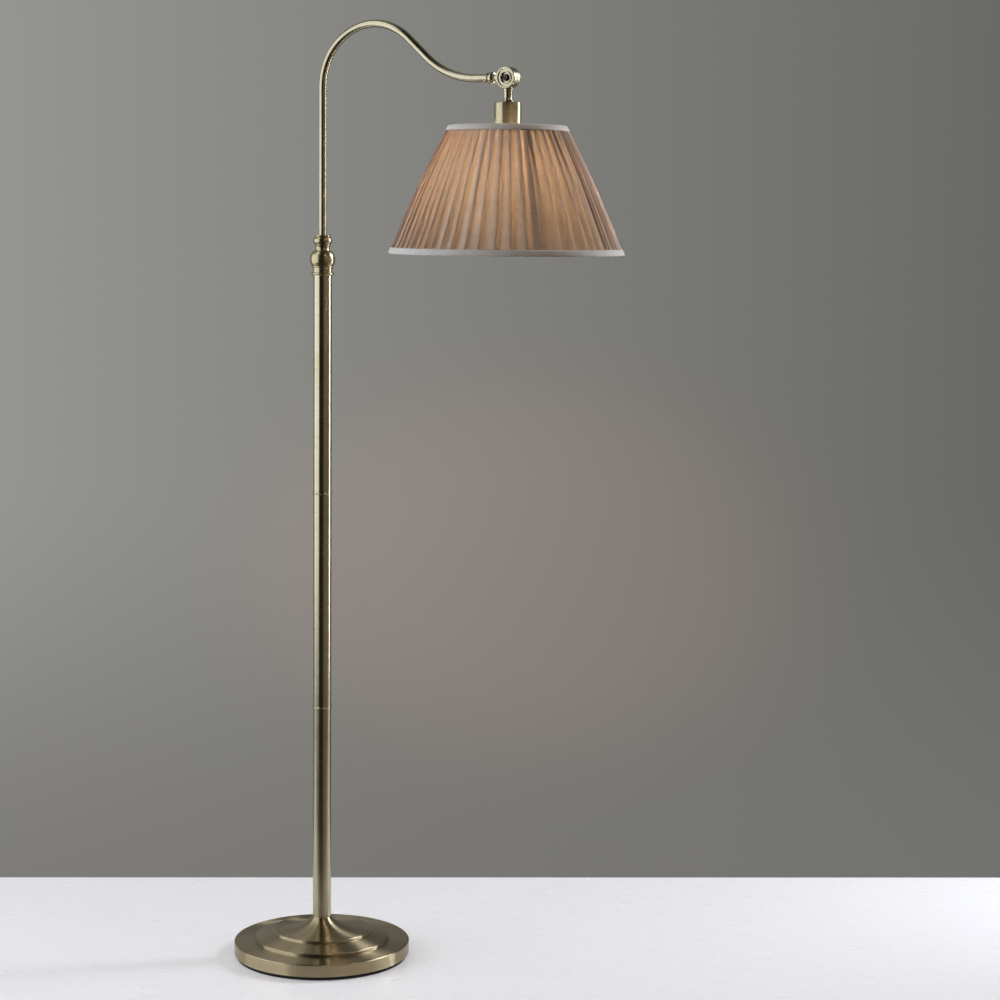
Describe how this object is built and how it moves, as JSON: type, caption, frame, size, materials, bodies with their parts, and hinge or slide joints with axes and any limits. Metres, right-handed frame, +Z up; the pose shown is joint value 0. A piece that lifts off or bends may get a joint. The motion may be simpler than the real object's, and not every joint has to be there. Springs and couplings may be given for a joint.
{
  "type": "adjustable arm floor lamp",
  "caption": "Floor lamp with a stepped round base, a sectioned pole, a height-adjustable swan-neck arm and a tilting pleated cone shade.",
  "frame": {"origin": "centre of the base's underside, on the pole's axis", "axes": "+Z up along the pole, +X along the arm at rest, +Y to the left of the arm; the swivel of the lamp head turns about Y"},
  "size_m": [0.649, 0.3554, 1.4781],
  "materials": {
    "antique_brass": "antique, fine brushed, lacquered",
    "plain_brass": "turned",
    "cap_metal": "pressed",
    "foam_pad": "closed-cell foam",
    "cast_iron": "as cast, painted",
    "black_rubber": "moulded",
    "zinc_steel": "zinc plated",
    "black_steel": "blackened",
    "white_nylon": "turned nylon",
    "black_moulding": "phenolic moulding",
    "steatite": "ceramic, unglazed",
    "lead_sheath": "flexible sheath",
    "pleated_linen": "pleated linen",
    "linen_tape": "woven tape",
    "white_lining": "laminated lining",
    "white_wire": "white enamel",
    "frosted_globe": "frosted",
    "white_moulding": "moulded"
  },
  "bodies": {
    "stand": {"base_pad": "foam_pad", "base_cover": "antique_brass", "base_weight": "cast_iron", "cord_grommet": "black_rubber", "base_stud": "zinc_steel", "base_nut": "zinc_steel", "base_washer": "zinc_steel", "pole_foot": "antique_brass", "pole_lower": "antique_brass", "pole_coupler_lower": "antique_brass", "pole_middle": "antique_brass", "pole_coupler_upper": "antique_brass", "pole_upper": "antique_brass", "pole_lead": "lead_sheath", "finial_body": "antique_brass", "collet_retainer": "zinc_steel"},
    "lock_collar": {"lock_collar": "antique_brass"},
    "collet": {"arm_collet": "white_nylon"},
    "arm": {"arm_tube": "antique_brass", "arm_bush": "white_nylon", "arm_clip": "zinc_steel", "arm_lead": "lead_sheath", "arm_ferrule": "antique_brass", "knuckle_arm_half": "antique_brass", "friction_washer": "black_rubber", "pivot_screw": "black_steel", "pivot_nut": "black_steel"},
    "lamp_head": {"knuckle_lamp_half": "antique_brass", "spring_washer": "black_steel", "lamp_nipple": "plain_brass", "head_lead": "lead_sheath", "holder_cover": "antique_brass", "lampholder_cap": "black_moulding", "lampholder_skirt": "black_moulding", "holder_insert": "steatite", "centre_contact": "plain_brass", "screw_shell": "plain_brass", "shade_ring": "black_moulding", "bulb_cap": "cap_metal", "bulb_body": "white_moulding", "bulb_globe": "frosted_globe", "shade_fabric": "pleated_linen", "shade_lining": "white_lining", "shade_top_trim": "linen_tape", "shade_foot_trim": "linen_tape", "shade_carrier": "white_wire", "shade_top_wire": "white_wire", "shade_foot_wire": "white_wire"}
  },
  "joints": [
    {"name": "collar_lock", "type": "hinge", "parent": "stand", "child": "lock_collar", "pos_m": [0, 0, 1.1431], "axis": [0, 0, 1], "range_deg": [0, 90]},
    {"name": "arm_swivel", "type": "hinge", "parent": "stand", "child": "collet", "pos_m": [0, 0, 1.1191], "axis": [0, 0, 1], "range_deg": [-170, 170]},
    {"name": "arm_height", "type": "slide", "parent": "collet", "child": "arm", "axis": [0, 0, 1], "range_m": [-0.18, 0.09]},
    {"name": "head_tilt", "type": "hinge", "parent": "arm", "child": "lamp_head", "pos_m": [0.3297, 0, 1.38665], "axis": [0, -1, 0], "range_deg": [-35, 90]}
  ]
}
